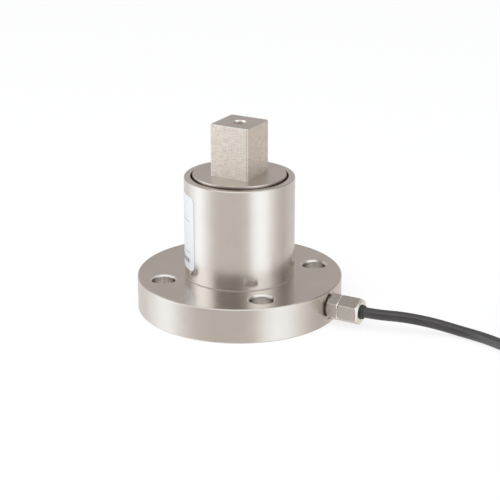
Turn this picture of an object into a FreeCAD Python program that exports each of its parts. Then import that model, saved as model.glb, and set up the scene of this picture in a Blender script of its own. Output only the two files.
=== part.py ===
import FreeCAD, Part
import math
import os

# A static torque sensor: a flanged torsion body with a square drive, a protective sleeve over its
# strain gauges, and a cable that leaves the flange through a small gland.
# Lengths are in millimetres and angles in degrees. The origin is the middle of the flange's
# underside, Z points up through the square drive, and X points out of the gland.

# Flange and its bolt holes.
FLANGE_D = 98.0
FLANGE_T = 16.7
FLANGE_EDGE = 0.5
BOLT_CIRCLE_D = 75.0
BOLT_HOLES = 4
BOLT_HOLE_D = 11.0
BOLT_HOLE_EDGE = 0.8
FIRST_BOLT_ANGLE = 45.0

# Centring recess in the underside, for the pilot of the mounting plate.
RECESS_D = 30.0
RECESS_DEPTH = 3.0

# Protective sleeve, and the spigot of the flange that it is pressed onto.
SLEEVE_D = 52.5
SLEEVE_BORE = 46.5
SLEEVE_H = 48.5
SLEEVE_EDGE = 0.35
SPIGOT_H = 4.5

# Torsion shaft and the collar above it, which stands a little proud of the sleeve's rim.
SHAFT_D = 28.0
COLLAR_GAP = 1.0
COLLAR_T = 10.5
COLLAR_PROUD = 1.25
COLLAR_EDGE = 0.5

# Soft ring that fills the gap between collar and sleeve, below the rim.
RING_W = 2.4
RING_BELOW_RIM = 2.2

# Square drive, and the centre drilling that the body was turned on.
SQUARE = 20.0
SQUARE_H = 24.8
SQUARE_CORNER = 0.7
SQUARE_EDGE = 0.35
CENTRE_MOUTH_D = 6.8
CENTRE_PILOT_D = 2.5
CENTRE_PILOT_DEPTH = 3.5
CENTRE_CONE = 60.0
DRILL_POINT = 118.0

# Cable, its port in the flange's side, and the riser that takes its cores up into the sleeve.
CABLE_D = 5.0
PORT_Z = 8.8
PORT_FACE_D = 13.0
PORT_FACE_DEPTH = 0.6
PORT_THREAD_D = 8.0
PORT_THREAD_DEPTH = 7.0
PASSAGE_D = 5.6
RISER_D = 4.6
RISER_R = 20.1

# Cable gland.
HEX_SIDES = 6
GLAND_FLATS = 11.4
GLAND_SEAL_T = 1.6
GLAND_SEAL_D = 10.6
BODY_HEX_L = 5.1
BODY_SHANK_L = 6.2
BODY_BORE_D = 5.4
STUB_D = 9.2
STUB_L = 5.2
MOUTH_D = 7.8
MOUTH_DEPTH = 3.6
NUT_GAP = 0.15
NUT_L = 9.9
NUT_DOME_L = 0.9
NUT_HOLE_D = 6.8
HEX_CHAMFER = 30.0
BUSH_NOSE_D = 6.4
BUSH_PROUD = 1.2

# Printed film label round the back of the sleeve.
LABEL_ARC = 131.0
LABEL_H = 36.6
LABEL_RISE = 5.3
LABEL_T = 0.15
LABEL_CORNER = 3.0
LABEL_ANGLE = 180.0

# Strain gauges on the torsion shaft.
GAUGES = 4
FIRST_GAUGE_ANGLE = 45.0
GAUGE_W = 9.0
GAUGE_H = 12.0
GAUGE_T = 0.2

# Terminal board bonded round the foot of the shaft. The cable's lower pair of cores lands on the
# low pins, and the upper pair crosses above it to the high pins.
BOARD_T = 1.0
BOARD_SIDES = 8
BOARD_CLEARANCE = 0.4
PIN_W = 0.9
LOW_PIN_H = 1.8
LOW_PIN_ANGLE = 14.0
HIGH_PIN_H = 3.1
HIGH_PIN_ANGLE = 24.0
RESISTOR_ANGLE = 60.0
RESISTOR_L = 3.2
RESISTOR_W = 1.6
RESISTOR_H = 0.7

# Flat ribbons from the gauges down to the board.
RIBBON_W = 2.4
RIBBON_T = 0.3
RIBBON_LAP = 1.5
RIBBON_FOOT = 2.6

# Cores of the cable, bared inside the flange.
CORE_D = 1.1
CORE_SPACING = 1.3
CORE_BEND = 0.6
JACKET_END_X = 30.0
WIRE_SIDES = 6

# Cable outside: where the inner tail ends inside the bush, and the points of its loose route.
TAIL_JOINT_DEPTH = 4.4
ROUTE = (
    (72.0, 0.0, PORT_Z),
    (84.5, 3.9, 8.8),
    (97.5, 9.7, 6.2),
    (109.5, 13.6, 3.1),
    (121.5, 12.9, 2.5),
)
CABLE_BEND_SHARE = 0.45
CABLE_SIDES = 8

# Coil of the rest of the cable: turns side by side in lanes, and lanes in layers.
COIL_X = 172.0
COIL_Y = 38.5
COIL_LANES = 4
COIL_LAYERS = 4
COIL_INNER_TURN_R = 23.2
LANE_PITCH = 5.1
LAYER_PITCH = 5.05
COIL_ENTRY_ANGLE = -100.0
COIL_TAIL_L = 21.0
COIL_APPROACH_L = 9.5
COIL_LAST_ANGLE = 48.0

# Straps that tie the coil.
TIE_T = 0.9
TIE_W = 5.0
TIE_ANGLES = (160.0, 290.0)

# Bare end of the cable: a shrunk sleeve and four leads with tinned tips.
END_SLEEVE_D = 6.4
END_SLEEVE_L = 20.0
LEAD_NAMES = ("red", "black", "green", "white")
LEAD_D = 1.1
LEAD_SPACING = 1.7
LEAD_STRAIGHT = 4.0
LEAD_FIRST_R = 36.75
LEAD_PITCH = 1.25
LEAD_STEPS = (17.0, 30.0, 43.0)
TIP_D = 0.7
TIP_L = 5.0

# How near two lengths or heights are when they count as the same.
SAME = 1e-6

# Places that follow from these sizes.
FLANGE_R = FLANGE_D / 2
SHAFT_R = SHAFT_D / 2
SLEEVE_R = SLEEVE_D / 2
SLEEVE_BORE_R = SLEEVE_BORE / 2
GLAND_FLAT_R = GLAND_FLATS / 2
GLAND_CORNER_R = GLAND_FLAT_R / math.cos(math.pi / HEX_SIDES)
HEX_CHAMFER_L = (GLAND_CORNER_R - GLAND_FLAT_R) * math.tan(math.radians(HEX_CHAMFER))
COLLAR_R = SLEEVE_BORE_R - COLLAR_GAP
SPIGOT_TOP = FLANGE_T + SPIGOT_H
RIM_Z = FLANGE_T + SLEEVE_H
COLLAR_TOP = RIM_Z + COLLAR_PROUD
COLLAR_FOOT = COLLAR_TOP - COLLAR_T
SQUARE_TOP = COLLAR_TOP + SQUARE_H
PORT_FACE_X = FLANGE_R - PORT_FACE_DEPTH
HEX_X = PORT_FACE_X + GLAND_SEAL_T
JOINT_X = HEX_X + BODY_HEX_L
NUT_X = JOINT_X + NUT_GAP
NUT_END_X = NUT_X + NUT_L
EXIT_X = NUT_END_X + BUSH_PROUD
STUB_END_X = JOINT_X + STUB_L
BOARD_TOP = SPIGOT_TOP + BOARD_T
BOARD_INNER_R = SHAFT_R + BOARD_CLEARANCE
BOARD_OUTER_R = SLEEVE_BORE_R - BOARD_CLEARANCE
BOARD_MID_R = (BOARD_INNER_R + BOARD_OUTER_R) / 2
GAUGE_FOOT = (SPIGOT_TOP + COLLAR_FOOT - GAUGE_H) / 2
COIL_INNER_R = COIL_INNER_TURN_R - CABLE_D / 2
COIL_OUTER_TURN_R = COIL_INNER_TURN_R + (COIL_LANES - 1) * LANE_PITCH
COIL_OUTER_R = COIL_OUTER_TURN_R + CABLE_D / 2
COIL_STEP_R = COIL_OUTER_R - LANE_PITCH
COIL_TOP = TIE_T + CABLE_D + (COIL_LAYERS - 1) * LAYER_PITCH
COIL_STEP_Z = COIL_TOP - LAYER_PITCH
END_R = COIL_STEP_R + END_SLEEVE_D / 2

ORIGIN = FreeCAD.Vector(0, 0, 0)
X = FreeCAD.Vector(1, 0, 0)
Y = FreeCAD.Vector(0, 1, 0)
Z = FreeCAD.Vector(0, 0, 1)
PORT_AXIS = FreeCAD.Vector(0, 0, PORT_Z)
COIL_CENTRE = FreeCAD.Vector(COIL_X, COIL_Y, 0)


def polar(radius, angle, z=0.0):
    """A point at a radius and an angle round Z."""
    turn = math.radians(angle)
    return FreeCAD.Vector(radius * math.cos(turn), radius * math.sin(turn), z)


def unit(vector):
    """A copy of a vector, one millimetre long."""
    return FreeCAD.Vector(vector).normalize()


def bend(before, corner, after, cut):
    """The tangent arc that leaves both runs at cut from their corner: start, middle, end and radius."""
    into = unit(corner - before)
    out = unit(after - corner)
    half_turn = into.getAngle(out) / 2
    radius = cut / math.tan(half_turn)
    start = corner - into * cut
    middle = corner + unit(out - into) * (radius / math.cos(half_turn) - radius)
    end = corner + out * cut
    return start, middle, end, radius


def route_wire(points):
    """Straight runs joined by arcs as large as the shorter run beside each allows, with the arcs' radii."""
    edges = []
    radii = []
    start = points[0]
    for before, corner, after in zip(points, points[1:], points[2:]):
        cut = CABLE_BEND_SHARE * min((corner - before).Length, (after - corner).Length)
        begin, middle, end, radius = bend(before, corner, after, cut)
        edges.append(Part.LineSegment(start, begin).toShape())
        edges.append(Part.Arc(begin, middle, end).toShape())
        radii.append(radius)
        start = end
    edges.append(Part.LineSegment(start, points[-1]).toShape())
    return Part.Wire(edges), radii


def section_outline(start, along, diameter, sides):
    """The corners of a many-sided section square to a wire, the first one repeated at the end."""
    across = unit(along.cross(Z)) * (diameter / 2)
    corners = []
    for i in range(sides):
        spin = FreeCAD.Rotation(along, 360 / sides * (i + 0.5))
        corners.append(start + spin.multVec(across))
    return Part.makePolygon(corners + corners[:1])


def tube(points, diameter, sides):
    """A cable along a route with round bends, its section many-sided to keep the bends light."""
    section = Part.Face(section_outline(points[0], unit(points[1] - points[0]), diameter, sides))
    pieces = []
    for edge in route_wire(points)[0].Edges:
        if isinstance(edge.Curve, Part.Circle):
            turn = math.degrees(edge.LastParameter - edge.FirstParameter)
            piece = section.revolve(edge.Curve.Center, edge.Curve.Axis, turn)
            section = section.rotated(edge.Curve.Center, edge.Curve.Axis, turn)
        else:
            run = edge.valueAt(edge.LastParameter) - edge.valueAt(edge.FirstParameter)
            piece = section.extrude(run)
            section = section.translated(run)
        pieces.append(piece)
    return pieces[0].multiFuse(pieces[1:])


def thin_wire(points, diameter):
    """A thin wire along straight runs that meet in mitred corners."""
    section = section_outline(points[0], unit(points[1] - points[0]), diameter, WIRE_SIDES)
    return Part.makePolygon(points).makePipeShell([section], True, False, 1)


def eased(points, cut):
    """A route with each corner replaced by two half as sharp, that far from it."""
    route = [points[0]]
    for before, corner, after in zip(points, points[1:], points[2:]):
        route.append(corner - unit(corner - before) * cut)
        route.append(corner + unit(after - corner) * cut)
    return route + [points[-1]]


def turned(profile):
    """A solid turned round Z from its (radius, z) outline."""
    points = [FreeCAD.Vector(r, 0, z) for r, z in profile]
    face = Part.Face(Part.makePolygon(points + points[:1]))
    return face.revolve(ORIGIN, Z, 360)


def turned_on_port(profile):
    """A solid turned round the gland's axis from its (x, radius) outline."""
    points = [FreeCAD.Vector(x, 0, PORT_Z + r) for x, r in profile]
    face = Part.Face(Part.makePolygon(points + points[:1]))
    return face.revolve(PORT_AXIS, X, 360)


def port_cylinder(radius, start_x, end_x):
    """A cylinder on the gland's axis."""
    start = FreeCAD.Vector(start_x, 0, PORT_Z)
    return Part.makeCylinder(radius, end_x - start_x, start, X)


def sector(profile, first_angle, arc, centre=ORIGIN):
    """A piece of a ring: a closed (radius, z) outline swept over an arc round an upright axis."""
    points = [centre + polar(r, first_angle, z) for r, z in profile]
    face = Part.Face(Part.makePolygon(points + points[:1]))
    return face.revolve(centre, Z, arc)


def rectangle(inner_r, outer_r, low_z, high_z):
    """The (radius, z) outline of a plain ring."""
    return ((inner_r, low_z), (outer_r, low_z), (outer_r, high_z), (inner_r, high_z))


def centre_drilling():
    """The centre drill's cut in the square: a cone that narrows to a short pilot with a drill point."""
    mouth = FreeCAD.Vector(0, 0, SQUARE_TOP)
    down = Z * -1
    mouth_r = CENTRE_MOUTH_D / 2
    pilot_r = CENTRE_PILOT_D / 2
    cone_depth = (mouth_r - pilot_r) / math.tan(math.radians(CENTRE_CONE / 2))
    point_depth = pilot_r / math.tan(math.radians(DRILL_POINT / 2))
    pilot_end = cone_depth + CENTRE_PILOT_DEPTH
    cone = Part.makeCone(mouth_r, pilot_r, cone_depth, mouth, down)
    pilot = Part.makeCylinder(pilot_r, pilot_end, mouth, down)
    point = Part.makeCone(pilot_r, 0, point_depth, mouth + down * pilot_end, down)
    return cone.fuse(pilot).fuse(point)


def bolt_hole(angle):
    """A through hole of the flange with its upper mouth chamfered."""
    r = BOLT_HOLE_D / 2
    e = BOLT_HOLE_EDGE
    hole = turned(((0, 0), (r, 0), (r, FLANGE_T - e), (r + e, FLANGE_T), (0, FLANGE_T)))
    hole.translate(polar(BOLT_CIRCLE_D / 2, angle))
    return hole


def turned_blank():
    """The torsion body as it leaves the lathe: flange, spigot, torsion shaft and collar."""
    return turned((
        (0, RECESS_DEPTH),
        (RECESS_D / 2, RECESS_DEPTH),
        (RECESS_D / 2, 0),
        (FLANGE_R - FLANGE_EDGE, 0),
        (FLANGE_R, FLANGE_EDGE),
        (FLANGE_R, FLANGE_T - FLANGE_EDGE),
        (FLANGE_R - FLANGE_EDGE, FLANGE_T),
        (SLEEVE_BORE_R, FLANGE_T),
        (SLEEVE_BORE_R, SPIGOT_TOP),
        (SHAFT_R, SPIGOT_TOP),
        (SHAFT_R, COLLAR_FOOT),
        (COLLAR_R, COLLAR_FOOT),
        (COLLAR_R, COLLAR_TOP - COLLAR_EDGE),
        (COLLAR_R - COLLAR_EDGE, COLLAR_TOP),
        (0, COLLAR_TOP),
    ))


def square_drive():
    """The milled square on top of the collar, with its corners rounded and its top edges broken."""
    corner = FreeCAD.Vector(-SQUARE / 2, -SQUARE / 2, COLLAR_TOP)
    square = Part.makeBox(SQUARE, SQUARE, SQUARE_H, corner)
    upright = [e for e in square.Edges if abs(e.BoundBox.ZLength - SQUARE_H) < SAME]
    square = square.makeFillet(SQUARE_CORNER, upright)
    top = [e for e in square.Edges if e.BoundBox.ZMin > SQUARE_TOP - SAME]
    return square.makeChamfer(SQUARE_EDGE, top)


def torsion_body():
    """Flange, torsion shaft, collar and square drive, machined as one piece, with its holes."""
    body = turned_blank().fuse(square_drive())
    cuts = [bolt_hole(FIRST_BOLT_ANGLE + 360 / BOLT_HOLES * i) for i in range(BOLT_HOLES)]
    cuts.append(centre_drilling())
    cuts.append(port_cylinder(PORT_FACE_D / 2, PORT_FACE_X, FLANGE_R))
    cuts.append(port_cylinder(PORT_THREAD_D / 2, PORT_FACE_X - PORT_THREAD_DEPTH, PORT_FACE_X))
    cuts.append(port_cylinder(PASSAGE_D / 2, RISER_R - PASSAGE_D / 2, PORT_FACE_X))
    cuts.append(Part.makeCylinder(RISER_D / 2, SPIGOT_TOP - PORT_Z, FreeCAD.Vector(RISER_R, 0, PORT_Z)))
    for cut in cuts:
        body = body.cut(cut)
    return body.removeSplitter()


def protective_sleeve():
    """The tube over the gauges, pressed onto the flange's spigot."""
    e = SLEEVE_EDGE
    return turned((
        (SLEEVE_BORE_R, FLANGE_T),
        (SLEEVE_R, FLANGE_T),
        (SLEEVE_R, RIM_Z - e),
        (SLEEVE_R - e, RIM_Z),
        (SLEEVE_BORE_R, RIM_Z),
    ))


def collar_seal():
    """The soft ring between collar and sleeve, which keeps dirt out and lets the collar twist."""
    top = RIM_Z - RING_BELOW_RIM
    return turned(rectangle(COLLAR_R, SLEEVE_BORE_R, top - RING_W, top))


def label():
    """A thin film with rounded corners, bent round the back of the sleeve."""
    foot = FLANGE_T + LABEL_RISE
    first = LABEL_ANGLE - LABEL_ARC / 2
    thick = rectangle(SLEEVE_R - LABEL_CORNER, SLEEVE_R + LABEL_CORNER, foot, foot + LABEL_H)
    block = sector(thick, first, LABEL_ARC)
    corners = [e for e in block.Edges if abs(e.Length - 2 * LABEL_CORNER) < SAME]
    block = block.makeFillet(LABEL_CORNER, corners)
    film = rectangle(SLEEVE_R, SLEEVE_R + LABEL_T, foot, foot + LABEL_H)
    return sector(film, first, LABEL_ARC).common(block)


def hex_bar(start_x, end_x):
    """A piece of hexagon bar on the gland's axis, standing on a corner."""
    points = []
    for i in range(HEX_SIDES):
        corner = polar(GLAND_CORNER_R, 360 / HEX_SIDES * i)
        points.append(FreeCAD.Vector(start_x, corner.y, PORT_Z + corner.x))
    face = Part.Face(Part.makePolygon(points + points[:1]))
    return face.extrude(X * (end_x - start_x))


def gland_seal_ring():
    """The flat ring between the gland's hexagon and the spot face of the flange."""
    ring = port_cylinder(GLAND_SEAL_D / 2, PORT_FACE_X, HEX_X)
    return ring.cut(port_cylinder(PORT_THREAD_D / 2, PORT_FACE_X, HEX_X))


def gland_body():
    """The fixed half of the gland: threaded shank, hexagon, and a stub with a mouth for the bush."""
    blank = turned_on_port((
        (HEX_X, 0),
        (HEX_X, GLAND_CORNER_R),
        (JOINT_X - HEX_CHAMFER_L, GLAND_CORNER_R),
        (JOINT_X, GLAND_FLAT_R),
        (JOINT_X, 0),
    ))
    body = hex_bar(HEX_X, JOINT_X).common(blank)
    body = body.fuse(port_cylinder(PORT_THREAD_D / 2, HEX_X - BODY_SHANK_L, HEX_X))
    body = body.fuse(port_cylinder(STUB_D / 2, JOINT_X, STUB_END_X))
    body = body.cut(port_cylinder(BODY_BORE_D / 2, HEX_X - BODY_SHANK_L, STUB_END_X))
    body = body.cut(port_cylinder(MOUTH_D / 2, STUB_END_X - MOUTH_DEPTH, STUB_END_X))
    return body.removeSplitter()


def gland_nut():
    """The domed cap nut that squeezes the bush onto the cable."""
    outline = (
        (NUT_X, 0),
        (NUT_X, GLAND_FLAT_R),
        (NUT_X + HEX_CHAMFER_L, GLAND_CORNER_R),
        (NUT_END_X - NUT_DOME_L, GLAND_CORNER_R),
        (NUT_END_X, GLAND_FLAT_R - NUT_DOME_L),
        (NUT_END_X, 0),
    )
    nut = hex_bar(NUT_X, NUT_END_X).common(turned_on_port(outline))
    nut = nut.cut(port_cylinder(STUB_D / 2, NUT_X, STUB_END_X))
    nut = nut.cut(port_cylinder(NUT_HOLE_D / 2, NUT_X, NUT_END_X))
    return nut.removeSplitter()


def gland_bush():
    """The rubber bush: a plug in the body's mouth and a nose that shows round the cable."""
    return turned_on_port((
        (STUB_END_X - MOUTH_DEPTH, CABLE_D / 2),
        (STUB_END_X - MOUTH_DEPTH, MOUTH_D / 2),
        (STUB_END_X, MOUTH_D / 2),
        (STUB_END_X, BUSH_NOSE_D / 2),
        (EXIT_X, BUSH_NOSE_D / 2),
        (EXIT_X, CABLE_D / 2),
    ))


def strain_gauge(angle):
    """One foil gauge with its cover, bonded to the torsion shaft."""
    arc = math.degrees(GAUGE_W / SHAFT_R)
    profile = rectangle(SHAFT_R, SHAFT_R + GAUGE_T, GAUGE_FOOT, GAUGE_FOOT + GAUGE_H)
    return sector(profile, angle - arc / 2, arc)


def gauge_angles():
    """The places of the gauges round the shaft."""
    return [FIRST_GAUGE_ANGLE + 360 / GAUGES * i for i in range(GAUGES)]


def gauge_ribbon(angle):
    """A flat ribbon soldered to a gauge's foot, down the shaft and out onto the board."""
    inner_r = SHAFT_R + GAUGE_T
    foot_r = BOARD_INNER_R + RIBBON_FOOT
    outline = (
        (inner_r, GAUGE_FOOT + RIBBON_LAP),
        (inner_r, BOARD_TOP),
        (foot_r, BOARD_TOP),
        (foot_r, BOARD_TOP + RIBBON_T),
        (inner_r + RIBBON_T, BOARD_TOP + RIBBON_T),
        (inner_r + RIBBON_T, GAUGE_FOOT + RIBBON_LAP),
    )
    points = [FreeCAD.Vector(r, -RIBBON_W / 2, z) for r, z in outline]
    ribbon = Part.Face(Part.makePolygon(points + points[:1])).extrude(Y * RIBBON_W)
    ribbon = ribbon.cut(Part.makeCylinder(inner_r, RIM_Z))
    ribbon.rotate(ORIGIN, Z, angle)
    return ribbon


def terminal_board():
    """An eight-sided board round the shaft's foot, with a slot where the cable's cores come up."""
    corners = [polar(BOARD_OUTER_R, 360 / BOARD_SIDES * (i + 0.5), SPIGOT_TOP) for i in range(BOARD_SIDES)]
    board = Part.Face(Part.makePolygon(corners + corners[:1])).extrude(Z * BOARD_T)
    board = board.cut(Part.makeCylinder(BOARD_INNER_R, BOARD_TOP))
    slot_w = RISER_D + 2 * BOARD_CLEARANCE
    return board.cut(Part.makeBox(BOARD_OUTER_R, slot_w, BOARD_TOP, FreeCAD.Vector(0, -slot_w / 2, 0)))


def board_block(width, length, height, angle):
    """A small block on the middle of the board, with its length round the board."""
    block = Part.makeBox(width, length, height, FreeCAD.Vector(-width / 2, -length / 2, 0))
    block.rotate(ORIGIN, Z, angle)
    block.translate(polar(BOARD_MID_R, angle, BOARD_TOP))
    return block


def core_pins():
    """The square pins that the cable's cores are soldered to."""
    pins = []
    for side in (-1, 1):
        pins.append(board_block(PIN_W, PIN_W, LOW_PIN_H, side * LOW_PIN_ANGLE))
        pins.append(board_block(PIN_W, PIN_W, HIGH_PIN_H, side * HIGH_PIN_ANGLE))
    return Part.makeCompound(pins)


def trim_resistor(side):
    """A chip resistor that trims the bridge's zero or span."""
    return board_block(RESISTOR_W, RESISTOR_L, RESISTOR_H, side * RESISTOR_ANGLE)


def cable_tail():
    """The jacketed end of the cable, from inside the bush back into the flange's passage."""
    return port_cylinder(CABLE_D / 2, JACKET_END_X, EXIT_X - TAIL_JOINT_DEPTH)


def cable_core(side, shift, pin_angle, pin_h):
    """A bared core: along the passage, up the riser and over onto the top of its pin."""
    y = side * CORE_SPACING / 2
    top = BOARD_TOP + pin_h + CORE_D / 2
    route = [
        FreeCAD.Vector(JACKET_END_X, y, PORT_Z + shift),
        FreeCAD.Vector(RISER_R + shift, y, PORT_Z + shift),
        FreeCAD.Vector(RISER_R + shift, y, top),
        polar(BOARD_MID_R, side * pin_angle, top),
    ]
    return thin_wire(eased(route, CORE_BEND), CORE_D)


def cable_cores():
    """The four bared cores, two to each side of the riser."""
    shift = CORE_SPACING / 2
    cores = []
    for side in (-1, 1):
        cores.append(cable_core(side, -shift, HIGH_PIN_ANGLE, HIGH_PIN_H))
        cores.append(cable_core(side, shift, LOW_PIN_ANGLE, LOW_PIN_H))
    return Part.makeCompound(cores)


def coil_entry(distance):
    """A point on the straight that runs into the coil's outer turn, that far before it."""
    touch = COIL_CENTRE + polar(COIL_OUTER_TURN_R, COIL_ENTRY_ANGLE, TIE_T + CABLE_D / 2)
    return touch - polar(distance, COIL_ENTRY_ANGLE + 90)


def cable_run():
    """The loose stretch of the cable, from inside the bush to the coil's tail."""
    points = [FreeCAD.Vector(EXIT_X - TAIL_JOINT_DEPTH, 0, PORT_Z)]
    points.extend(FreeCAD.Vector(*point) for point in ROUTE)
    points.append(coil_entry(COIL_TAIL_L + COIL_APPROACH_L))
    points.append(coil_entry(COIL_TAIL_L))
    wire, radii = route_wire(points)
    run = tube(points, CABLE_D, CABLE_SIDES)
    section = CABLE_SIDES / 2 * (CABLE_D / 2) ** 2 * math.sin(math.radians(360 / CABLE_SIDES))
    print("cable run: length", round(wire.Length, 1), "arc radii", [round(r, 1) for r in radii])
    print("cable run: volume", round(run.Volume, 1), "section x length", round(section * wire.Length, 1))
    return run


def cable_coil():
    """The outer shape of the coiled cable: a ring whose top layer is one lane short, and its tail."""
    low = TIE_T
    profile = (
        (COIL_INNER_R, low),
        (COIL_OUTER_R, low),
        (COIL_OUTER_R, COIL_STEP_Z),
        (COIL_STEP_R, COIL_STEP_Z),
        (COIL_STEP_R, COIL_TOP),
        (COIL_INNER_R, COIL_TOP),
    )
    coil = sector(profile, 0, 360, COIL_CENTRE)
    last_lane = rectangle(COIL_STEP_R, COIL_OUTER_R, COIL_STEP_Z, COIL_TOP)
    coil = coil.fuse(sector(last_lane, 0, COIL_LAST_ANGLE, COIL_CENTRE))
    along = polar(1, COIL_ENTRY_ANGLE + 90)
    tail = Part.makeCylinder(CABLE_D / 2, COIL_TAIL_L, coil_entry(COIL_TAIL_L), along)
    return coil.fuse(tail).removeSplitter()


def coil_tie(angle):
    """A strap drawn tight round the coil's section."""
    hull = (
        (COIL_INNER_R, TIE_T),
        (COIL_OUTER_R, TIE_T),
        (COIL_OUTER_R, COIL_STEP_Z),
        (COIL_STEP_R, COIL_TOP),
        (COIL_INNER_R, COIL_TOP),
    )
    lean = (COIL_OUTER_R - COIL_STEP_R) / (COIL_TOP - COIL_STEP_Z)
    side = TIE_T * math.tan(math.atan(1 / lean) / 2)
    crown = TIE_T * math.tan(math.atan(lean) / 2)
    outside = (
        (COIL_INNER_R - TIE_T, 0),
        (COIL_OUTER_R + TIE_T, 0),
        (COIL_OUTER_R + TIE_T, COIL_STEP_Z + crown),
        (COIL_STEP_R + side, COIL_TOP + TIE_T),
        (COIL_INNER_R - TIE_T, COIL_TOP + TIE_T),
    )
    arc = math.degrees(TIE_W / COIL_OUTER_R)
    first = angle - arc / 2
    strap = sector(outside, first, arc, COIL_CENTRE)
    return strap.cut(sector(hull, first, arc, COIL_CENTRE))


def end_place(angle, radius, z):
    """A point round the coil, past the end of the wound cable."""
    return COIL_CENTRE + polar(radius, COIL_LAST_ANGLE + angle, z)


def cable_end_sleeve():
    """The shrunk sleeve over the cable's end, lying on the coil's last lane."""
    angle = math.degrees(END_SLEEVE_L / END_R)
    profile = []
    for i in range(CABLE_SIDES):
        place = polar(END_SLEEVE_D / 2, 360 / CABLE_SIDES * (i + 0.5))
        profile.append((END_R + place.x, COIL_STEP_Z + END_SLEEVE_D / 2 + place.y))
    return sector(profile, COIL_LAST_ANGLE, angle, COIL_CENTRE)


def lead_points(index):
    """The route of a lead: straight out of the sleeve's end, then down onto the coil beside the others."""
    sleeve_end = math.degrees(END_SLEEVE_L / END_R)
    across = LEAD_SPACING / 2 * (1 if index >= 2 else -1)
    above = LEAD_SPACING / 2 * (1 if index % 2 else -1)
    start = end_place(sleeve_end, END_R + across, COIL_STEP_Z + END_SLEEVE_D / 2 + above)
    straight = start + polar(LEAD_STRAIGHT, COIL_LAST_ANGLE + sleeve_end + 90)
    rest_r = LEAD_FIRST_R + LEAD_PITCH * index
    rest_z = COIL_STEP_Z + LEAD_D / 2
    halfway_r = (END_R + across + rest_r) / 2
    halfway_z = rest_z + LEAD_PITCH * (index % 2)
    places = ((halfway_r, halfway_z), (rest_r, rest_z), (rest_r, rest_z))
    points = [start, straight]
    for step, (radius, z) in zip(LEAD_STEPS, places):
        points.append(end_place(sleeve_end + step, radius, z))
    return points


def lead(index):
    """One insulated lead of the bare cable end."""
    return thin_wire(lead_points(index), LEAD_D)


def lead_tip(index):
    """The stripped and tinned tip of a lead."""
    points = lead_points(index)
    end = points[-1]
    far = end + unit(end - points[-2]) * TIP_L
    return thin_wire([end, far], TIP_D)


def build():
    """Every sub-part under its node's name."""
    parts = {
        "torsion_body": torsion_body(),
        "protective_sleeve": protective_sleeve(),
        "collar_seal": collar_seal(),
        "label": label(),
        "gland_seal_ring": gland_seal_ring(),
        "gland_body": gland_body(),
        "gland_nut": gland_nut(),
        "gland_bush": gland_bush(),
        "terminal_board": terminal_board(),
        "core_pins": core_pins(),
        "cable_cores": cable_cores(),
        "cable_tail": cable_tail(),
        "cable_run": cable_run(),
        "cable_coil": cable_coil(),
        "cable_end_sleeve": cable_end_sleeve(),
        "lead_tips": Part.makeCompound([lead_tip(i) for i in range(len(LEAD_NAMES))]),
    }
    for i, angle in enumerate(gauge_angles()):
        parts[f"strain_gauge_{i + 1}"] = strain_gauge(angle)
        parts[f"gauge_ribbon_{i + 1}"] = gauge_ribbon(angle)
    for name, side in (("zero", -1), ("span", 1)):
        parts[f"{name}_trim_resistor"] = trim_resistor(side)
    for i, angle in enumerate(TIE_ANGLES):
        parts[f"coil_tie_{i + 1}"] = coil_tie(angle)
    for i, name in enumerate(LEAD_NAMES):
        parts[f"lead_{name}"] = lead(i)
    return parts


os.makedirs("parts", exist_ok=True)
for name, shape in build().items():
    shape.exportStep(f"parts/{name}.step")
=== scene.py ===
import math

import bmesh
import bpy
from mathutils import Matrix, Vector


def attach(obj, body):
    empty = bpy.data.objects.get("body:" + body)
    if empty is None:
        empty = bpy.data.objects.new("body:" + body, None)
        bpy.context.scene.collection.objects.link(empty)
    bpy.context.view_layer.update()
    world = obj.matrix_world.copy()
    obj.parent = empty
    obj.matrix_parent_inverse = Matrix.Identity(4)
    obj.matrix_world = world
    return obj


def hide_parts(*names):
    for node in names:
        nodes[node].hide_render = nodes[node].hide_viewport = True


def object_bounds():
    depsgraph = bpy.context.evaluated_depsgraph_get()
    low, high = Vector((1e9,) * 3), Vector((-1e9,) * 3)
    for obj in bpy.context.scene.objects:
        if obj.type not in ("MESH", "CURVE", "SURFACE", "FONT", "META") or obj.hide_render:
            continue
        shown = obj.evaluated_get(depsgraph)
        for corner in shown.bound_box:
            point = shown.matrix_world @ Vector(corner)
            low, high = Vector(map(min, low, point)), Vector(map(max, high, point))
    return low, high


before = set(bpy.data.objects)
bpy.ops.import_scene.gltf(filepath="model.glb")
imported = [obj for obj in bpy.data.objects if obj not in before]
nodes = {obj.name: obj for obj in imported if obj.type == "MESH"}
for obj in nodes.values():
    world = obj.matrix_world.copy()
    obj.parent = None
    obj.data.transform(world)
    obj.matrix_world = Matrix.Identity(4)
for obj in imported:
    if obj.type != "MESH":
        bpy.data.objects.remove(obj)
cad_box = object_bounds()

# Camera: a long lens at the front right, a little above the flange, as in a catalogue picture.
# It looks at a point just right of the torsion axis.
view_turn = math.radians(29.32)
view_rise = math.radians(19.95)
view_distance = 0.7472
view_beside_axis = 0.00495
view_height = 0.02778
lens_length = 112.33
sensor_width = 36
image_right = Vector((math.cos(view_turn), math.sin(view_turn), 0))
camera_side = Vector((math.sin(view_turn), -math.cos(view_turn), 0))
back_from_object = camera_side * math.cos(view_rise) + Vector((0, 0, math.sin(view_rise)))
view_target = image_right * view_beside_axis + Vector((0, 0, view_height))

camera_data = bpy.data.cameras.new("camera")
camera_data.sensor_width = sensor_width
camera_data.lens = lens_length
camera = bpy.data.objects.new("camera", camera_data)
camera.location = view_target + back_from_object * view_distance
camera.rotation_euler = back_from_object.to_track_quat("Z", "Y").to_euler()
bpy.context.scene.collection.objects.link(camera)
bpy.context.scene.camera = camera
bpy.context.scene.view_settings.view_transform = "Standard"


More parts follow.
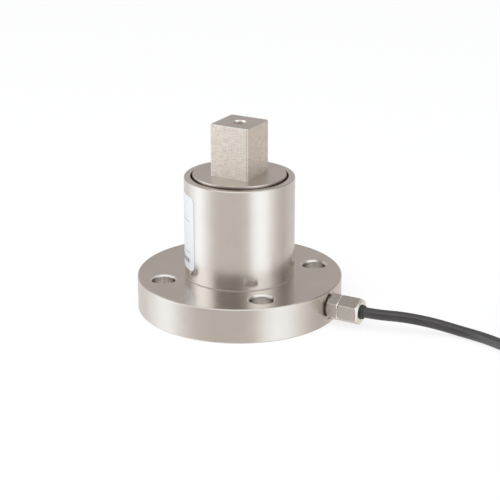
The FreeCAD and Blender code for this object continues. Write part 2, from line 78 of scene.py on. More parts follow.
# Studio: the camera sees a white backdrop, and the metal mirrors soft panels that stand round the
# object and over it. They show as upright bands, so their directions and levels are set by the
# bands on the sleeve.
def add(tree, kind, inputs=None, **settings):
    """A shader node with its settings and inputs. An input is a value or another node's output."""
    node = tree.nodes.new("ShaderNode" + kind)
    for name, value in settings.items():
        setattr(node, name, value)
    for socket, value in (inputs or {}).items():
        if isinstance(value, bpy.types.NodeSocket):
            tree.links.new(value, node.inputs[socket])
        else:
            node.inputs[socket].default_value = value
    return node


def maths(tree, operation, *values):
    """The result of a Math node."""
    return add(tree, "Math", dict(enumerate(values)), operation=operation).outputs[0]


def mixed(tree, share, first, second):
    """A colour between two others."""
    return add(tree, "Mix", {0: share, 6: first, 7: second}, data_type="RGBA").outputs[2]


def spread(tree, value, low, high, to_low=0.0, to_high=1.0):
    """A value carried smoothly from one range to another, and held at its ends."""
    inputs = {"Value": value, 1: low, 2: high, 3: to_low, 4: to_high}
    return add(tree, "MapRange", inputs, interpolation_type="SMOOTHSTEP").outputs[0]


def dot(tree, vector, direction):
    """How far a vector reaches along a fixed direction."""
    inputs = {0: vector, 1: direction}
    return add(tree, "VectorMath", inputs, operation="DOT_PRODUCT").outputs["Value"]


brightest = 2.0
warm_below = 0.70
cool_above = 1.28
warm_light = Vector((1.0, 0.95, 0.915))
cool_light = Vector((1.0, 1.055, 1.10))
low_panels = (
    (-180, 0.76), (-135, 0.88), (-112, 1.14), (-97, 1.36), (-84, 1.30), (-74, 1.10), (-64, 0.93),
    (-54, 0.80), (-46, 0.74), (-30, 0.72), (-2, 0.72), (12, 0.76), (20, 0.90), (29, 1.18), (42, 1.34),
    (56, 1.28), (66, 1.08), (76, 0.92), (88, 0.74), (104, 0.65), (120, 0.74), (140, 0.76), (180, 0.76),
)
high_panels = (
    (-180, 0.54), (-150, 0.54), (-128, 0.62), (-112, 1.10), (-98, 1.80), (-80, 1.80), (-66, 1.45),
    (-57, 0.95), (-50, 0.45), (-42, 0.28), (-8, 0.27), (5, 0.33), (14, 0.50), (24, 1.10), (34, 1.50),
    (50, 1.50), (64, 1.25), (76, 0.80), (90, 0.50), (105, 0.33), (125, 0.42), (150, 0.54), (180, 0.54),
)
low_meet_high = (-0.02, 0.12)
walls_meet_ceiling = (0.5, 0.75)
back_meets_front = (-0.25, 0.25)
ceiling_in_front = (1.15, 1.20, 1.24, 1)
ceiling_behind = (0.46, 0.445, 0.43, 1)
white = (1, 1, 1, 1)


def panel_light(tree, bearing, panels):
    """The light of a ring of panels, each a bearing in degrees from the camera and a level."""
    ring = add(tree, "ValToRGB", {"Fac": maths(tree, "MULTIPLY_ADD", bearing, 1 / (2 * math.pi), 0.5)})
    ring.color_ramp.interpolation = "EASE"
    stops = ring.color_ramp.elements
    while len(stops) < len(panels):
        stops.new(1.0)
    for stop, (angle, level) in zip(stops, panels):
        coolness = min(max((level - warm_below) / (cool_above - warm_below), 0), 1)
        stop.position = angle / 360 + 0.5
        stop.color = (*(warm_light.lerp(cool_light, coolness) * level / brightest), 1)
    return add(tree, "VectorMath", {0: ring.outputs[0], "Scale": brightest}, operation="SCALE").outputs[0]


world = bpy.data.worlds.new("studio")
world.use_nodes = True
bpy.context.scene.world = world
tree = world.node_tree
tree.nodes.clear()
direction = add(tree, "TexCoord").outputs["Generated"]
frontness = dot(tree, direction, camera_side)
bearing = maths(tree, "ARCTAN2", dot(tree, direction, image_right), frontness)
height = dot(tree, direction, (0, 0, 1))
low_light = panel_light(tree, bearing, low_panels)
high_light = panel_light(tree, bearing, high_panels)
walls = mixed(tree, spread(tree, height, *low_meet_high), low_light, high_light)
ceiling = mixed(tree, spread(tree, frontness, *back_meets_front), ceiling_behind, ceiling_in_front)
panels = mixed(tree, spread(tree, height, *walls_meet_ceiling), walls, ceiling)
rays = add(tree, "LightPath").outputs
seen = maths(tree, "MAXIMUM", rays["Is Camera Ray"], rays["Is Transmission Ray"])
backdrop = mixed(tree, seen, panels, white)
light = add(tree, "Background", {"Color": backdrop, "Strength": 1.0})
tree.links.new(light.outputs[0], add(tree, "OutputWorld").inputs["Surface"])

lamp_width = 0.7
lamp_power = 5.0
lamp_height = 0.85
lamp_to_left = 0.3
lamp_to_front = 0.65
lamp_data = bpy.data.lights.new("soft_lamp", "AREA")
lamp_data.shape = "DISK"
lamp_data.size = lamp_width
lamp_data.energy = lamp_power
lamp = bpy.data.objects.new("soft_lamp", lamp_data)
lamp.visible_glossy = False
lamp.location = Vector((0, 0, lamp_height)) - image_right * lamp_to_left + camera_side * lamp_to_front
lamp.rotation_euler = lamp.location.to_track_quat("Z", "Y").to_euler()
bpy.context.scene.collection.objects.link(lamp)

# Floor: a plain white sheet under the object. It takes a soft shadow and glows a little towards the
# camera, so that it is as white as the backdrop. The metal mirrors the panels through it.
floor_size = 4.0
floor_white = (0.93, 0.93, 0.93, 1)
glow_share = 0.8
glow_strength = 1.02
floor_mesh = bpy.data.meshes.new("floor")
shape = bmesh.new()
bmesh.ops.create_grid(shape, x_segments=1, y_segments=1, size=floor_size / 2)
shape.to_mesh(floor_mesh)
shape.free()
floor = bpy.data.objects.new("floor", floor_mesh)
bpy.context.scene.collection.objects.link(floor)
paper = bpy.data.materials.new("floor_paper")
paper.use_nodes = True
tree = paper.node_tree
tree.nodes.clear()
rays = add(tree, "LightPath").outputs
seen = maths(tree, "MAXIMUM", rays["Is Camera Ray"], rays["Is Transmission Ray"])
sheet = add(tree, "BsdfDiffuse", {"Color": floor_white}).outputs[0]
glow = add(tree, "Emission", {"Color": white, "Strength": glow_strength}).outputs[0]
lifted = add(tree, "MixShader", {0: glow_share, 1: sheet, 2: glow}).outputs[0]
shown = add(tree, "MixShader", {0: seen, 1: sheet, 2: lifted}).outputs[0]
clear = add(tree, "BsdfTransparent").outputs[0]
surface = add(tree, "MixShader", {0: rays["Is Glossy Ray"], 1: shown, 2: clear}).outputs[0]
tree.links.new(surface, add(tree, "OutputMaterial").inputs["Surface"])
floor_mesh.materials.append(paper)


# Cable: four cores in a matt dark grey jacket of 5 mm. It leaves the bush level, sinks to the floor
# in a loose curve, and the length that isn't needed is wound into a tied coil, lane by lane. The
# creases between the coil's turns are darkened with painted shade, and made rougher.
def node_group(name, inputs, outputs):
    """A shader node group with named sockets, and the nodes that carry them."""
    group = bpy.data.node_groups.new(name, "ShaderNodeTree")
    for way, sockets in (("INPUT", inputs), ("OUTPUT", outputs)):
        for socket, kind in sockets.items():
            group.interface.new_socket(name=socket, in_out=way, socket_type="NodeSocket" + kind)
    return group, group.nodes.new("NodeGroupInput").outputs, group.nodes.new("NodeGroupOutput").inputs


cloud_scale = 70.0
cloud_share = 0.6
fine_share = 0.4
clouding = (0.3, 0.7)
roughness_swing = 0.16
moulded_grain, given, result = node_group(
    "moulded_grain",
    {"Colour": "Color", "Pale": "Color", "Grain": "Float", "Rough": "Float"},
    {"Colour": "Color", "Rough": "Float", "Height": "Float"},
)
place = add(moulded_grain, "TexCoord").outputs["Object"]
cloud = add(moulded_grain, "TexNoise", {"Vector": place, "Scale": cloud_scale, "Detail": 3.0}).outputs[0]
fine = add(moulded_grain, "TexNoise", {"Vector": place, "Scale": given["Grain"], "Detail": 2.0}).outputs[0]
fine_part = maths(moulded_grain, "MULTIPLY", fine, fine_share)
tone = maths(moulded_grain, "MULTIPLY_ADD", cloud, cloud_share, fine_part)
tone = spread(moulded_grain, tone, *clouding)
colour = mixed(moulded_grain, tone, given["Colour"], given["Pale"])
off_middle = maths(moulded_grain, "SUBTRACT", tone, 0.5)
rough = maths(moulded_grain, "MULTIPLY_ADD", off_middle, roughness_swing, given["Rough"])
moulded_grain.links.new(colour, result["Colour"])
moulded_grain.links.new(rough, result["Rough"])
moulded_grain.links.new(fine, result["Height"])


def new_material(name, **constants):
    """A node material, with its Principled shader set to some constant values."""
    made = bpy.data.materials.new(name)
    made.use_nodes = True
    shader = made.node_tree.nodes["Principled BSDF"]
    for socket, value in constants.items():
        shader.inputs[socket.replace("_", " ")].default_value = value
    return made, made.node_tree, shader


def moulded(name, colour, pale, rough, grain=1500.0, relief=0.00001, **constants):
    """A plastic or rubber finish: slightly clouded, with a fine grain."""
    made, tree, shader = new_material(name, **constants)
    values = {"Colour": (*colour, 1), "Pale": (*pale, 1), "Grain": grain, "Rough": rough}
    grains = add(tree, "Group", values, node_tree=moulded_grain).outputs
    bump = add(tree, "Bump", {"Height": grains["Height"], "Distance": relief, "Strength": 1.0})
    tree.links.new(grains["Colour"], shader.inputs["Base Color"])
    tree.links.new(grains["Rough"], shader.inputs["Roughness"])
    tree.links.new(bump.outputs[0], shader.inputs["Normal"])
    return made


def dress(finish, *names):
    """Gives CAD nodes their finish."""
    for name in names:
        slots = nodes[name].data.materials
        slots.clear()
        slots.append(finish)


def laid(name, points, diameter, finish, sections=4, thickness=None):
    """A round cord, lead or sleeve along a smooth line through a route's control points."""
    line = bpy.data.curves.new(name, "CURVE")
    line.dimensions = "3D"
    line.bevel_depth = diameter / 2
    line.bevel_resolution = 6
    line.use_fill_caps = True
    line.resolution_u = sections
    route = line.splines.new("NURBS")
    route.points.add(len(points) - 1)
    for i, point in enumerate(points):
        route.points[i].co = (*point, 1)
        route.points[i].radius = thickness[i] if thickness else 1.0
    route.order_u = 3
    route.use_endpoint_u = True
    line.materials.append(finish)
    piece = bpy.data.objects.new(name, line)
    bpy.context.scene.collection.objects.link(piece)
    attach(piece, "root")
    return piece


cable_diameter = 0.005
cable_route = [
    Vector((0.06195, 0, 0.0088)),
    Vector((0.072, 0, 0.0088)),
    Vector((0.0845, 0.0039, 0.0088)),
    Vector((0.0975, 0.0097, 0.0062)),
    Vector((0.1095, 0.0136, 0.0031)),
    Vector((0.1215, 0.0129, 0.0025)),
    Vector((0.13527, 0.00588, 0.0034)),
    Vector((0.1446, 0.00423, 0.0034)),
]

# The coil is wound by angle, in degrees: the cable keeps its lane and layer for a while, and then
# shifts to the next one within a short arc.
coil_centre = Vector((0.172, 0.0385, 0))
coil_lanes = 4
coil_layers = 4
inner_turn_radius = 0.0232
lane_pitch = 0.0051
layer_pitch = 0.00505
lowest_turn = 0.0034
first_angle = 260
last_angle = 5448
points_per_turn = 16
first_shift = 630
layer_arc = 1350
climb_after = 1035
shift_arc = 45
sleeve_turn_radius = 0.0391
sleeve_height = 0.0192
sleeve_grip = 4


def round_coil(angle, radius, z):
    """A point round the coil's upright axis."""
    turn = math.radians(angle)
    return coil_centre + Vector((radius * math.cos(turn), radius * math.sin(turn), z))


def eased(share):
    """A share from 0 to 1 that starts and ends gently."""
    held = min(max(share, 0), 1)
    return held * held * (3 - 2 * held)


def shifts(angle):
    """The lane and layer that the cable has reached by an angle of the winding."""
    lane = coil_lanes - 1
    layer = 0
    for number in range(coil_layers):
        start = first_shift + layer_arc * number
        inwards = -1 if number % 2 == 0 else 1
        for step in range(coil_lanes - 1):
            lane += inwards * eased((angle - start - 360 * step) / shift_arc)
        if number < coil_layers - 1:
            layer += eased((angle - start - climb_after) / shift_arc)
    return lane, layer


point_count = round((last_angle - first_angle) * points_per_turn / 360)
point_arc = (last_angle - first_angle) / point_count
outside_arc = math.cos(math.radians(point_arc / 2))
for i in range(point_count):
    angle = first_angle + point_arc * (i + 0.5)
    lane, layer = shifts(angle)
    radius = inner_turn_radius + lane_pitch * lane
    cable_route.append(round_coil(angle, radius / outside_arc, lowest_turn + layer_pitch * layer))
cable_route.append(round_coil(last_angle + sleeve_grip, sleeve_turn_radius, sleeve_height))

crease_reach = 0.003
crease_painted_shade = (0.006, 0.005, 0.005, 1)
crease_roughness = 0.9
jacket = moulded(
    "cable_jacket",
    colour=(0.030, 0.027, 0.028),
    pale=(0.052, 0.047, 0.049),
    rough=0.38,
    grain=900.0,
    relief=0.00002,
    Specular_IOR_Level=0.75,
)
tree = jacket.node_tree
shader = tree.nodes["Principled BSDF"]
jacket_colour = shader.inputs["Base Color"].links[0].from_socket
jacket_rough = shader.inputs["Roughness"].links[0].from_socket
openness = add(
    tree,
    "AmbientOcclusion",
    {"Distance": crease_reach},
    samples=8,
    only_local=True,
).outputs["AO"]
# Painted shade: the jacket's colour darkens where its own turns crowd round it, in the coil's creases.
crease = maths(tree, "SUBTRACT", 1.0, openness)
colour = mixed(tree, openness, crease_painted_shade, jacket_colour)
rough = maths(tree, "MULTIPLY_ADD", crease, crease_roughness, jacket_rough)
tree.links.new(colour, shader.inputs["Base Color"])
tree.links.new(rough, shader.inputs["Roughness"])
cable = laid("cable", cable_route, cable_diameter, jacket)
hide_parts("cable_run", "cable_coil")
dress(jacket, "cable_tail")

# End sleeve: a piece of black tube shrunk over the end of the jacket, where the leads come out.
# It narrows a little at its ends, where it grips the cable and the leads.
end_sleeve_diameter = 0.0064
end_sleeve_arc = 29.3
end_sleeve_points = 7
end_narrowing = (0.86, 0.97, 1.0, 1.0, 1.0, 0.97, 0.80)
shrunk = moulded("shrunk_tube", colour=(0.012, 0.012, 0.013), pale=(0.022, 0.021, 0.022), rough=0.38)
end_route = []
for i in range(end_sleeve_points):
    angle = last_angle + end_sleeve_arc * i / (end_sleeve_points - 1)
    end_route.append(round_coil(angle, sleeve_turn_radius, sleeve_height))
end_sleeve = laid(
    "end_sleeve",
    end_route,
    end_sleeve_diameter,
    shrunk,
    sections=6,
    thickness=end_narrowing,
)
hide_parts("cable_end_sleeve")

# Leads: four stranded wires in coloured insulation come out of the sleeve's end two by two, and lie
# down beside each other on the coil. Their ends are stripped and tinned.
lead_diameter = 0.0011
tip_diameter = 0.0007
tip_length = 0.005
tip_grip = 0.001
lead_spacing = 0.0017
lead_straight = 0.004
first_lead_radius = 0.03675
lead_pitch = 0.00125
lead_steps = (17, 30, 43)
coil_step_height = 0.016
lead_colours = {
    "red": ((0.50, 0.018, 0.016), (0.62, 0.03, 0.025)),
    "black": ((0.012, 0.012, 0.012), (0.03, 0.03, 0.03)),
    "green": ((0.012, 0.17, 0.05), (0.02, 0.25, 0.08)),
    "white": ((0.72, 0.72, 0.69), (0.84, 0.84, 0.81)),
}
tinned = moulded(
    "tinned_copper",
    colour=(0.66, 0.65, 0.62),
    pale=(0.80, 0.79, 0.77),
    rough=0.28,
    grain=2500.0,
    Metallic=1.0,
)
leaves_at = last_angle + end_sleeve_arc
out = round_coil(leaves_at + 90, 1, 0) - coil_centre
rest_height = coil_step_height + lead_diameter / 2
end_pieces = [end_sleeve]
for i, (name, (colour, pale)) in enumerate(lead_colours.items()):
    beside = lead_spacing / 2 * (1 if i >= 2 else -1)
    above = lead_spacing / 2 * (1 if i % 2 else -1)
    start = round_coil(leaves_at, sleeve_turn_radius + beside, sleeve_height + above)
    rest_radius = first_lead_radius + lead_pitch * i
    halfway = (sleeve_turn_radius + beside + rest_radius) / 2
    lead_route = [
        start - out * lead_diameter,
        start + out * lead_straight,
        round_coil(leaves_at + lead_steps[0], halfway, rest_height + lead_pitch * (i % 2)),
        round_coil(leaves_at + lead_steps[1], rest_radius, rest_height),
        round_coil(leaves_at + lead_steps[2], rest_radius, rest_height),
    ]
    insulation = moulded("insulation_" + name, colour, pale, rough=0.35)
    lead = laid("lead_" + name + "_wire", lead_route, lead_diameter, insulation, sections=8)
    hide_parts("lead_" + name)
    along = (lead_route[-1] - lead_route[-2]).normalized()
    tip_route = [lead_route[-1] - along * tip_grip, lead_route[-1] + along * tip_length]
    tip_route.insert(1, (tip_route[0] + tip_route[1]) / 2)
    tip = laid("tip_" + name, tip_route, tip_diameter, tinned)
    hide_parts("lead_tips")
    end_pieces.extend((lead, tip))

# Coil ties: two flat straps of black plastic, drawn tight round the wound cable. The metal doesn't
# mirror them, the cable or its end pieces.
strap = moulded("tie_plastic", colour=(0.015, 0.015, 0.016), pale=(0.03, 0.03, 0.03), rough=0.42)
dress(strap, "coil_tie_1", "coil_tie_2")
for piece in (cable, nodes["coil_tie_1"], nodes["coil_tie_2"], *end_pieces):
    piece.visible_glossy = False


# Torsion body: flange, spigot, shaft, collar and square in one piece of steel. It is turned, its
# square is milled with fine crossing cutter marks, and all of it has a satin nickel plating, with a
# painted highlight on its edges and at the rims of its bolt holes. The drilling in the square's top
# turns dark brown deeper inside.
def between(tree, share, first, second):
    """A value between two others."""
    return add(tree, "Mix", {0: share, 2: first, 3: second}).outputs[0]


def vector(tree, operation, *vectors):
    """The vector that a Vector Math node makes."""
    return add(tree, "VectorMath", dict(enumerate(vectors)), operation=operation).outputs[0]


def in_plan(tree, place):
    """A place as it is seen from above."""
    return vector(tree, "MULTIPLY", place, (1, 1, 0))


def length(tree, reach):
    """How long a vector is."""
    return add(tree, "VectorMath", {0: reach}, operation="LENGTH").outputs["Value"]


# Turned marks: fine rings on the level faces, and rings one above the other on the round walls.
level_above = 0.7
turned_marks, given, result = node_group("turned_marks", {"Pitch": "Float"}, {"Mark": "Float"})
place = add(turned_marks, "TexCoord").outputs["Object"]
facing = add(turned_marks, "NewGeometry").outputs["Normal"]
level = maths(turned_marks, "ABSOLUTE", dot(turned_marks, facing, (0, 0, 1)))
flat = maths(turned_marks, "GREATER_THAN", level, level_above)
radius = length(turned_marks, in_plan(turned_marks, place))
rise = dot(turned_marks, place, (0, 0, 1))
feed = maths(turned_marks, "DIVIDE", between(turned_marks, flat, rise, radius), given["Pitch"])
mark = add(turned_marks, "TexNoise", {"W": feed, "Scale": 1.0, "Detail": 3.0}, noise_dimensions="1D")
turned_marks.links.new(mark.outputs[0], result["Mark"])

# Milled marks: two crossing passes of the cutter. They run on round the square's corners, because
# x less y grows without a step along its four faces.
round_square = (1, -1, 0)
upright_share = 0.45
level_share = 0.55
milled_marks, given, result = node_group(
    "milled_marks",
    {"Pitch": "Float", "Length": "Float"},
    {"Mark": "Float"},
)
place = add(milled_marks, "TexCoord").outputs["Object"]
beside = dot(milled_marks, place, round_square)
rise = dot(milled_marks, place, (0, 0, 1))
passes = []
for across, along in ((beside, rise), (rise, beside)):
    fine = maths(milled_marks, "DIVIDE", across, given["Pitch"])
    long = maths(milled_marks, "DIVIDE", along, given["Length"])
    pattern = add(milled_marks, "CombineXYZ", {0: fine, 1: long}).outputs[0]
    cut = add(milled_marks, "TexNoise", {"Vector": pattern, "Scale": 1.0, "Detail": 0.0})
    passes.append(cut.outputs[0])
level_part = maths(milled_marks, "MULTIPLY", passes[1], level_share)
mark = maths(milled_marks, "MULTIPLY_ADD", passes[0], upright_share, level_part)
milled_marks.links.new(mark, result["Mark"])

# Bright edges: the surface turns over a sharp edge as if it were a little rounded, and a mask
# marks where it turns, for a painted highlight there.
edge_full_at = 0.90
edge_starts_at = 0.985
bright_edges, given, result = node_group(
    "bright_edges",
    {"Radius": "Float"},
    {"Edge": "Float", "Normal": "Vector"},
)
rounded = add(bright_edges, "Bevel", {"Radius": given["Radius"]}, samples=6).outputs[0]
turn = dot(bright_edges, rounded, add(bright_edges, "NewGeometry").outputs["Normal"])
edge = spread(bright_edges, turn, edge_full_at, edge_starts_at, 1.0, 0.0)
bright_edges.links.new(edge, result["Edge"])
bright_edges.links.new(rounded, result["Normal"])

# Plating bloom: soft clouds of a duller tone.
plating_bloom, given, result = node_group("plating_bloom", {"Size": "Float"}, {"Cloud": "Float"})
place = add(plating_bloom, "TexCoord").outputs["Object"]
scaled = maths(plating_bloom, "DIVIDE", 1.0, given["Size"])
cloud = add(plating_bloom, "TexNoise", {"Vector": place, "Scale": scaled, "Detail": 4.0}).outputs[0]
plating_bloom.links.new(spread(plating_bloom, cloud, *clouding), result["Cloud"])

square_top = cad_box[1][2]
square_rise = 0.0248
square_clear = 0.0001
collar_top = square_top - square_rise
collar_edge = 0.0219
collar_chamfer = 0.0005
collar_tilt = 0.36
gap_below = 0.0003
flange_clear = 0.03
broken_depth = 0.0005
drilling_reach = 0.0034
brown_full_depth = 0.0014
brown_start_depth = 0.0006
bolt_circle_radius = 0.0375
hole_place = bolt_circle_radius / math.sqrt(2)
bore_reach = 0.0056
rim_reach = 0.0062
rim_width = 0.00045
upright_below = 0.3
sloped_below = 0.9
nickel = (0.70, 0.648, 0.598, 1)
nickel_dull = (0.62, 0.572, 0.525, 1)
milled_nickel = (0.905, 0.827, 0.745, 1)
milled_dull = (0.72, 0.657, 0.592, 1)
milled_corner_shade = (0.74, 0.675, 0.61, 1)
broken_edge_highlight = (0.90, 0.865, 0.82, 1)
highlight_nickel = (0.88, 0.84, 0.79, 1)
bore_painted_light = (0.84, 0.81, 0.78, 1)
gap_shade = (0.46, 0.385, 0.34, 1)
drilling_deep_brown = (0.20, 0.12, 0.06, 1)
turning_pitch = 0.00016
turning_share = 0.6
milling_pitch = 0.00056
milling_length = 0.0034
milling_tones = (0.28, 0.72)
corner_turn = (0.03, 0.3)
bloom_size = 0.012
bloom_share = 0.4
bloom_roughness = 0.05
edge_radius = 0.0003
highlight_share = 0.6
turned_relief = 0.0000012
milled_relief = 0.000024
turned_roughness = 0.235
top_roughness = 0.10
milled_roughness = 0.42
turned_steel = {"Metallic": 1.0, "Anisotropic": 0.5, "Anisotropic_Rotation": 0.25}

plated, tree, shader = new_material("nickel_body", **turned_steel)
turned = add(tree, "Group", {"Pitch": turning_pitch}, node_tree=turned_marks).outputs[0]
milling = {"Pitch": milling_pitch, "Length": milling_length}
milled = add(tree, "Group", milling, node_tree=milled_marks).outputs[0]
bloom = add(tree, "Group", {"Size": bloom_size}, node_tree=plating_bloom).outputs[0]
edges = add(tree, "Group", {"Radius": edge_radius}, node_tree=bright_edges).outputs

# Where a point of the body lies: on the square, in the drilling, on the collar's chamfer, in the gap
# round the collar, in a bolt hole or at its rim.
place = add(tree, "TexCoord").outputs["Object"]
facing = add(tree, "NewGeometry").outputs["Normal"]
rise = dot(tree, place, (0, 0, 1))
level = maths(tree, "ABSOLUTE", dot(tree, facing, (0, 0, 1)))
upright = maths(tree, "LESS_THAN", level, upright_below)
sloped = maths(tree, "SUBTRACT", maths(tree, "LESS_THAN", level, sloped_below), upright)
over_flange = maths(tree, "GREATER_THAN", rise, flange_clear)
over_collar = maths(tree, "GREATER_THAN", rise, collar_top + square_clear)
near_top = maths(tree, "GREATER_THAN", rise, square_top - broken_depth)
outwards = in_plan(tree, place)
distance = length(tree, outwards)
on_square = maths(tree, "MULTIPLY", upright, over_collar)
on_broken_edge = maths(tree, "MULTIPLY", sloped, near_top)
sideways = add(tree, "SeparateXYZ", {0: facing}).outputs
both_ways = maths(tree, "ABSOLUTE", maths(tree, "MULTIPLY", sideways[0], sideways[1]))
on_corner = spread(tree, both_ways, *corner_turn)
in_drilling = maths(tree, "MULTIPLY", maths(tree, "LESS_THAN", distance, drilling_reach), over_collar)
# The drilling in the square's top turns darker and brown deeper down.
brown_by_depth = spread(tree, rise, square_top - brown_full_depth, square_top - brown_start_depth, 1.0, 0.0)
deep_brown = maths(tree, "MULTIPLY", in_drilling, brown_by_depth)
on_wall = maths(tree, "MULTIPLY", maths(tree, "GREATER_THAN", distance, collar_edge), over_flange)
under_chamfer = maths(tree, "LESS_THAN", rise, collar_top - collar_chamfer)
on_chamfer = maths(tree, "MAXIMUM", maths(tree, "SUBTRACT", on_wall, under_chamfer), 0.0)
in_gap = maths(tree, "MULTIPLY", on_wall, maths(tree, "LESS_THAN", rise, collar_top - gap_below))
from_hole = vector(tree, "SUBTRACT", vector(tree, "ABSOLUTE", place), (hole_place, hole_place, 0))
hole_distance = length(tree, in_plan(tree, from_hole))
in_bore = maths(tree, "LESS_THAN", hole_distance, bore_reach)
off_rim = maths(tree, "ABSOLUTE", maths(tree, "SUBTRACT", hole_distance, rim_reach))
at_rim = maths(tree, "LESS_THAN", off_rim, rim_width)
off_square = maths(tree, "SUBTRACT", 1.0, maths(tree, "MAXIMUM", on_square, in_gap))
# Painted highlight: the edges and the rims of the bolt holes, away from the square and the gap.
painted_edge_highlight = maths(tree, "MULTIPLY", maths(tree, "MAXIMUM", edges["Edge"], at_rim), off_square)

# The plating's colour, from the widest places to the smallest.
tone = maths(tree, "MULTIPLY_ADD", turned, turning_share, maths(tree, "MULTIPLY", bloom, bloom_share))
turned_colour = mixed(tree, tone, nickel_dull, nickel)
milled_colour = mixed(tree, spread(tree, milled, *milling_tones), milled_dull, milled_nickel)
# Painted shade: the square's rounded corners are darker.
milled_colour = mixed(tree, on_corner, milled_colour, milled_corner_shade)
colour = mixed(tree, on_square, turned_colour, milled_colour)
# Painted highlight: the sloped edges round the square's top are lighter.
colour = mixed(tree, on_broken_edge, colour, broken_edge_highlight)
colour = mixed(tree, deep_brown, colour, drilling_deep_brown)
colour = mixed(tree, in_gap, colour, gap_shade)
# Painted light: the walls of the bolt holes are lighter than the plating elsewhere.
colour = mixed(tree, in_bore, colour, bore_painted_light)
colour = mixed(tree, maths(tree, "MULTIPLY", painted_edge_highlight, highlight_share), colour, highlight_nickel)

# Its roughness, its marks and the way that they run. The collar's chamfer is turned smooth.
rough = between(tree, on_square, turned_roughness, milled_roughness)
off_middle = maths(tree, "SUBTRACT", bloom, 0.5)
rough = maths(tree, "MULTIPLY_ADD", off_middle, bloom_roughness, rough)
rough = maths(tree, "MULTIPLY_ADD", over_flange, top_roughness, rough)
relief = between(tree, on_square, turned_relief, milled_relief)
height = maths(tree, "MULTIPLY", between(tree, on_square, turned, milled), relief)
tilted = vector(tree, "ADD", vector(tree, "NORMALIZE", outwards), (0, 0, collar_tilt))
choice = {0: on_chamfer, 4: edges["Normal"], 5: vector(tree, "NORMALIZE", tilted)}
smooth = add(tree, "Mix", choice, data_type="VECTOR").outputs[1]
bump = add(tree, "Bump", {"Height": height, "Distance": 1.0, "Strength": 1.0, "Normal": smooth})
grooves = add(tree, "Tangent", direction_type="RADIAL", axis="Z")
tree.links.new(colour, shader.inputs["Base Color"])
tree.links.new(rough, shader.inputs["Roughness"])
tree.links.new(bump.outputs[0], shader.inputs["Normal"])
tree.links.new(grooves.outputs[0], shader.inputs["Tangent"])
dress(plated, "torsion_body")

# Protective sleeve: a turned and ground steel tube, plated as the body is, and pressed onto the
# flange's spigot. Its grinding marks run round it, and at its foot a thin seam is rougher and
# darkened with painted shade.
sleeve_nickel = (0.73, 0.682, 0.635, 1)
sleeve_dull = (0.68, 0.632, 0.585, 1)
grinding_pitch = 0.00012
grinding_share = 0.5
grinding_relief = 0.0000007
sleeve_bloom_size = 0.009
sleeve_bloom_share = 0.5
sleeve_roughness = 0.215
seam_top = 0.0171
seam_roughness = 0.4
ground, tree, shader = new_material("nickel_sleeve", **turned_steel)
turned = add(tree, "Group", {"Pitch": grinding_pitch}, node_tree=turned_marks).outputs[0]
bloom = add(tree, "Group", {"Size": sleeve_bloom_size}, node_tree=plating_bloom).outputs[0]
rise = dot(tree, add(tree, "TexCoord").outputs["Object"], (0, 0, 1))
seam = maths(tree, "LESS_THAN", rise, seam_top)
tone = maths(tree, "MULTIPLY", bloom, sleeve_bloom_share)
tone = maths(tree, "MULTIPLY_ADD", turned, grinding_share, tone)
# Painted shade: the seam at the sleeve's foot takes the dull colour.
colour = mixed(tree, maths(tree, "SUBTRACT", tone, seam), sleeve_dull, sleeve_nickel)
off_middle = maths(tree, "SUBTRACT", bloom, 0.5)
rough = maths(tree, "MULTIPLY_ADD", off_middle, bloom_roughness, sleeve_roughness)
rough = maths(tree, "MULTIPLY_ADD", seam, seam_roughness, rough)
bump = add(tree, "Bump", {"Height": turned, "Distance": grinding_relief, "Strength": 1.0})
grooves = add(tree, "Tangent", direction_type="RADIAL", axis="Z")
tree.links.new(colour, shader.inputs["Base Color"])
tree.links.new(rough, shader.inputs["Roughness"])
tree.links.new(bump.outputs[0], shader.inputs["Normal"])
tree.links.new(grooves.outputs[0], shader.inputs["Tangent"])
dress(ground, "protective_sleeve")

# Collar seal: a ring of soft black rubber, cast into the gap between collar and sleeve below the
# sleeve's rim. It keeps dust and oil off the gauges.
soft_black = moulded("seal_rubber", colour=(0.010, 0.009, 0.009), pale=(0.022, 0.020, 0.018), rough=0.62)
dress(soft_black, "collar_seal")

# Label: a white satin film bonded round the back of the sleeve, ruled with thin dark lines. Its row
# of print is plain blocks.
sleeve_radius = 0.02625
film_white = (0.745, 0.755, 0.79, 1)
film_roughness = 0.32
ink = (0.10, 0.11, 0.13, 1)
rule_heights = (0.0464, 0.0310)
rule_half_width = 0.00014
print_stops_at = math.radians(122.5)
blocks_height = 0.0266
blocks_half_height = 0.0011
block_length = 0.0021
block_share = 0.62
film, tree, shader = new_material("label_film", Roughness=film_roughness)
place = add(tree, "TexCoord").outputs["Object"]
rise = dot(tree, place, (0, 0, 1))
bearing = maths(tree, "ARCTAN2", dot(tree, place, (0, 1, 0)), dot(tree, place, (1, 0, 0)))
inside_print = maths(tree, "GREATER_THAN", maths(tree, "ABSOLUTE", bearing), print_stops_at)
inked = 0.0
for rule in rule_heights:
    off = maths(tree, "ABSOLUTE", maths(tree, "SUBTRACT", rise, rule))
    inked = maths(tree, "MAXIMUM", inked, maths(tree, "LESS_THAN", off, rule_half_width))
steps = maths(tree, "DIVIDE", maths(tree, "MULTIPLY", bearing, sleeve_radius), block_length)
in_block = maths(tree, "LESS_THAN", maths(tree, "FRACT", steps), block_share)
off = maths(tree, "ABSOLUTE", maths(tree, "SUBTRACT", rise, blocks_height))
in_row = maths(tree, "LESS_THAN", off, blocks_half_height)
inked = maths(tree, "MAXIMUM", inked, maths(tree, "MULTIPLY", in_block, in_row))
inked = maths(tree, "MULTIPLY", inked, inside_print)
tree.links.new(mixed(tree, inked, film_white, ink), shader.inputs["Base Color"])
dress(film, "label")
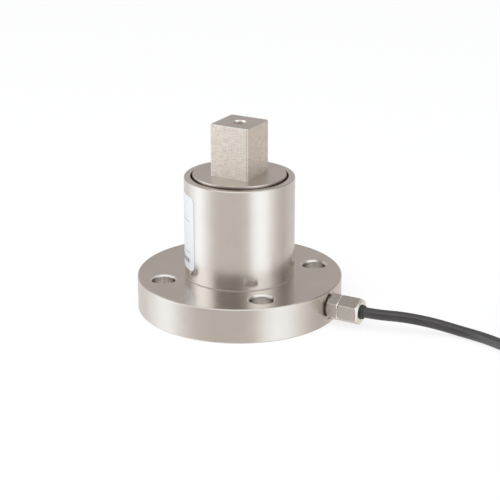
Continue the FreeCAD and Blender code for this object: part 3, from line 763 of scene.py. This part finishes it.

# Cable gland: a fixed hexagon and a domed cap nut of nickel-plated brass, turned from hexagon bar.
# Its flats keep the bar's slightly mottled skin, and its edges and turned ends carry a painted highlight.
gland_nickel = (0.59, 0.545, 0.50, 1)
gland_dull = (0.52, 0.48, 0.44, 1)
gland_highlight = (0.96, 0.91, 0.83, 1)
gland_roughness = 0.26
mottle_size = 0.0006
mottle_roughness = 0.10
mottle_relief = 0.000008
corner_radius = 0.0005
turned_end_above = 0.3
gland_plating, tree, shader = new_material("gland_plating", Metallic=1.0)
mottle = add(tree, "Group", {"Size": mottle_size}, node_tree=plating_bloom).outputs[0]
edges = add(tree, "Group", {"Radius": corner_radius}, node_tree=bright_edges).outputs
endwise = maths(tree, "ABSOLUTE", dot(tree, add(tree, "NewGeometry").outputs["Normal"], (1, 0, 0)))
turned_end = maths(tree, "GREATER_THAN", endwise, turned_end_above)
# Painted highlight: the gland's edges and turned ends are near white.
gland_highlight_mask = maths(tree, "MAXIMUM", edges["Edge"], turned_end)
colour = mixed(tree, gland_highlight_mask, mixed(tree, mottle, gland_dull, gland_nickel), gland_highlight)
rough = maths(tree, "MULTIPLY_ADD", mottle, mottle_roughness, gland_roughness)
bump = add(tree, "Bump", {"Height": mottle, "Distance": mottle_relief, "Normal": edges["Normal"]})
tree.links.new(colour, shader.inputs["Base Color"])
tree.links.new(rough, shader.inputs["Roughness"])
tree.links.new(bump.outputs[0], shader.inputs["Normal"])
dress(gland_plating, "gland_body", "gland_nut")

# Gland seal: dark brown rubber against the flange, bonded to a thin plated washer that lies under
# the gland's hexagon.
washer_from = 0.0491
washer_nickel = (0.60, 0.55, 0.505, 1)
washer_roughness = 0.34
bonded_seal = moulded("bonded_seal", colour=(0.035, 0.026, 0.020), pale=(0.065, 0.048, 0.036), rough=0.6)
tree = bonded_seal.node_tree
shader = tree.nodes["Principled BSDF"]
rubber_colour = shader.inputs["Base Color"].links[0].from_socket
rubber_rough = shader.inputs["Roughness"].links[0].from_socket
along = dot(tree, add(tree, "TexCoord").outputs["Object"], (1, 0, 0))
on_washer = maths(tree, "GREATER_THAN", along, washer_from)
tree.links.new(mixed(tree, on_washer, rubber_colour, washer_nickel), shader.inputs["Base Color"])
tree.links.new(between(tree, on_washer, rubber_rough, washer_roughness), shader.inputs["Roughness"])
tree.links.new(on_washer, shader.inputs["Metallic"])
dress(bonded_seal, "gland_seal_ring")

# Gland bush: a ring of dark greenish rubber in the nut's mouth, squeezed by the nut round the cable
# so that it holds and seals it.
bush_rubber = moulded("bush_rubber", colour=(0.012, 0.018, 0.017), pale=(0.03, 0.042, 0.040), rough=0.5)
dress(bush_rubber, "gland_bush")

# Inner pieces, out of sight in the sleeve: foil gauges and their ribbons in amber film, a green
# board with tinned pins and two black trim resistors, and the cable's bared cores.
amber = moulded("gauge_film", colour=(0.55, 0.27, 0.06), pale=(0.70, 0.40, 0.12), rough=0.25)
amber_ribbon = moulded("ribbon_film", colour=(0.50, 0.22, 0.05), pale=(0.62, 0.32, 0.09), rough=0.3)
laminate = moulded("board_laminate", colour=(0.02, 0.14, 0.06), pale=(0.03, 0.20, 0.09), rough=0.35)
chip = moulded("resistor_body", colour=(0.02, 0.02, 0.025), pale=(0.05, 0.05, 0.055), rough=0.4)
insulated = moulded("core_insulation", colour=(0.40, 0.40, 0.40), pale=(0.52, 0.52, 0.52), rough=0.4)
pin_tin = moulded("pin_tin", colour=(0.62, 0.60, 0.55), pale=(0.76, 0.74, 0.68), rough=0.3, Metallic=1.0)
for i in range(1, 5):
    dress(amber, f"strain_gauge_{i}")
    dress(amber_ribbon, f"gauge_ribbon_{i}")
dress(laminate, "terminal_board")
dress(chip, "zero_trim_resistor", "span_trim_resistor")
dress(insulated, "cable_cores")
dress(pin_tin, "core_pins")
